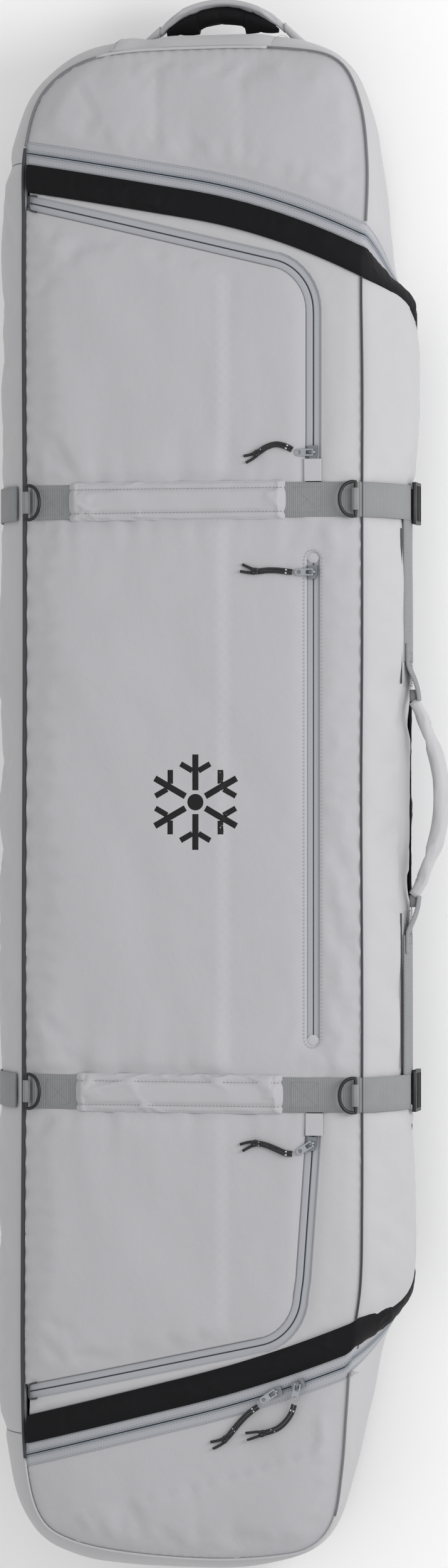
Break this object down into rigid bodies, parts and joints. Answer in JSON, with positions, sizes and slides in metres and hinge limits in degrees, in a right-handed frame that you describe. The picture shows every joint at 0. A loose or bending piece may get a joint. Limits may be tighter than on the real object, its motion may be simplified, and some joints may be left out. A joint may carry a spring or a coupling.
{
  "type": "snowboard bag",
  "caption": "Padded snowboard travel bag lying on its back: zipped fold-over lid with outside pockets, compression straps, side carry handle and haul handle at the head end.",
  "frame": {"origin": "middle of the flat back panel underside, which the bag lies on", "axes": "+Z out of the front, +Y towards the head end with the haul handle, +X towards the side with the carry handle"},
  "size_m": [0.5, 1.734, 0.2142],
  "materials": {
    "shell_fabric": "cool light grey coated polyester",
    "foam": "closed-cell foam faced with lining",
    "zip_tape": "woven zip tape, blue-grey",
    "webbing": "woven webbing, mid grey",
    "band_fabric": "black coated fabric",
    "print": "flat black print",
    "buckle_plastic": "black acetal",
    "slider_metal": "grey painted zip slider",
    "tab_metal": "pale grey painted tab",
    "cord": "black braided cord with pale flecks"
  },
  "bodies": {
    "tub": {"back_panel": "shell_fabric", "base_foam": "foam", "left_gusset": "shell_fabric", "right_gusset": "shell_fabric", "head_gusset": "shell_fabric", "foot_gusset": "shell_fabric", "head_panel": "shell_fabric", "foot_panel": "shell_fabric", "tub_zip_tape": "zip_tape", "head_patch": "webbing", "tub_strap_upper": "webbing", "tub_strap_lower": "webbing"},
    "lid": {"lid_panel": "shell_fabric", "lid_foam": "foam", "upper_pocket": "shell_fabric", "upper_strip": "shell_fabric", "centre_pocket": "shell_fabric", "lower_pocket": "shell_fabric", "lower_strip": "shell_fabric", "lid_gusset": "shell_fabric", "band_upper": "band_fabric", "band_side": "band_fabric", "band_lower": "band_fabric", "lid_zip_tape": "zip_tape", "upper_pocket_zip": "zip_tape", "centre_pocket_zip": "zip_tape", "lower_pocket_zip": "zip_tape", "upper_zip_garage": "shell_fabric", "lower_zip_garage": "shell_fabric", "front_strap_upper": "webbing", "front_strap_lower": "webbing", "sleeve_upper": "shell_fabric", "sleeve_lower": "shell_fabric", "carry_anchors": "webbing", "ring_loops": "webbing", "emblem": "print"},
    "slider_upper": {"slider_upper": "slider_metal"},
    "pull_upper": {"tab_upper": "tab_metal", "cord_upper": "cord"},
    "slider_centre": {"slider_centre": "slider_metal"},
    "pull_centre": {"tab_centre": "tab_metal", "cord_centre": "cord"},
    "slider_lower": {"slider_lower": "slider_metal"},
    "pull_lower": {"tab_lower": "tab_metal", "cord_lower": "cord"},
    "slider_main_left": {"slider_main_left": "slider_metal"},
    "pull_main_left": {"tab_main_left": "tab_metal", "cord_main_left": "cord"},
    "slider_main_right": {"slider_main_right": "slider_metal"},
    "pull_main_right": {"tab_main_right": "tab_metal", "cord_main_right": "cord"},
    "ring_upper_left": {"ring_upper_left": "buckle_plastic"},
    "ring_lower_left": {"ring_lower_left": "buckle_plastic"},
    "ring_upper_right": {"ring_upper_right": "buckle_plastic"},
    "ring_lower_right": {"ring_lower_right": "buckle_plastic"},
    "carry_handle": {"carry_handle": "shell_fabric"},
    "haul_handle": {"haul_handle": "shell_fabric", "haul_lining": "band_fabric"},
    "ladder_lock_upper": {"ladder_lock_upper": "buckle_plastic"},
    "ladder_lock_lower": {"ladder_lock_lower": "buckle_plastic"}
  },
  "joints": [
    {"name": "lid_hinge", "type": "hinge", "parent": "tub", "child": "lid", "pos_m": [-0.19, 0, 0.191], "axis": [0, -1, 0], "range_deg": [0, 105]},
    {"name": "slider_upper_slide", "type": "slide", "parent": "lid", "child": "slider_upper", "axis": [0, 1, 0], "range_m": [0, 0.125]},
    {"name": "pull_upper_lift", "type": "hinge", "parent": "slider_upper", "child": "pull_upper", "pos_m": [0.137, 0.376, 0.20219], "axis": [0, 1, 0], "range_deg": [0, 100]},
    {"name": "slider_centre_slide", "type": "slide", "parent": "lid", "child": "slider_centre", "axis": [0, -1, 0], "range_m": [0, 0.47]},
    {"name": "pull_centre_lift", "type": "hinge", "parent": "slider_centre", "child": "pull_centre", "pos_m": [0.137, 0.246, 0.20219], "axis": [0, 1, 0], "range_deg": [0, 100]},
    {"name": "slider_lower_slide", "type": "slide", "parent": "lid", "child": "slider_lower", "axis": [-0.0698, -0.9975, 0.0068], "range_m": [0, 0.15]},
    {"name": "pull_lower_lift", "type": "hinge", "parent": "slider_lower", "child": "pull_lower", "pos_m": [0.1363, -0.375, 0.20219], "axis": [-0.5299, 0.848, 0], "range_deg": [0, 100]},
    {"name": "slider_main_left_slide", "type": "slide", "parent": "tub", "child": "slider_main_left", "axis": [-0.9669, -0.2553, 0], "range_m": [0, 0.21]},
    {"name": "pull_main_left_lift", "type": "hinge", "parent": "slider_main_left", "child": "pull_main_left", "pos_m": [0.097, -0.64482, 0.20912], "axis": [-0.5592, 0.829, 0], "range_deg": [0, 100]},
    {"name": "slider_main_right_slide", "type": "slide", "parent": "tub", "child": "slider_main_right", "axis": [0.926, 0.3644, -0.0986], "range_m": [0, 0.02]},
    {"name": "pull_main_right_lift", "type": "hinge", "parent": "slider_main_right", "child": "pull_main_right", "pos_m": [0.122, -0.63614, 0.20779], "axis": [-0.9781, 0.2079, 0], "range_deg": [0, 100]},
    {"name": "ring_upper_left_swing", "type": "hinge", "parent": "lid", "child": "ring_upper_left", "pos_m": [-0.184, 0.325, 0.19817], "axis": [0, -1, 0], "range_deg": [0, 60]},
    {"name": "ring_lower_left_swing", "type": "hinge", "parent": "lid", "child": "ring_lower_left", "pos_m": [-0.184, -0.322, 0.19817], "axis": [0, -1, 0], "range_deg": [0, 60]},
    {"name": "ring_upper_right_swing", "type": "hinge", "parent": "lid", "child": "ring_upper_right", "pos_m": [0.184, 0.325, 0.19817], "axis": [0, 1, 0], "range_deg": [0, 60]},
    {"name": "ring_lower_right_swing", "type": "hinge", "parent": "lid", "child": "ring_lower_right", "pos_m": [0.184, -0.322, 0.19817], "axis": [0, 1, 0], "range_deg": [0, 60]},
    {"name": "carry_handle_swing", "type": "hinge", "parent": "lid", "child": "carry_handle", "pos_m": [0.234, 0, 0.112], "axis": [0, -1, 0], "range_deg": [-15, 60]},
    {"name": "haul_handle_swing", "type": "hinge", "parent": "tub", "child": "haul_handle", "pos_m": [0.016, 0.853, 0.099], "axis": [1, 0, 0], "range_deg": [-40, 50]},
    {"name": "ladder_lock_upper_tilt", "type": "hinge", "parent": "lid", "child": "ladder_lock_upper", "pos_m": [0.233, 0.325, 0.107], "axis": [0, -1, 0], "range_deg": [0, 75]},
    {"name": "ladder_lock_lower_tilt", "type": "hinge", "parent": "lid", "child": "ladder_lock_lower", "pos_m": [0.233, -0.322, 0.107], "axis": [0, -1, 0], "range_deg": [0, 75]}
  ]
}
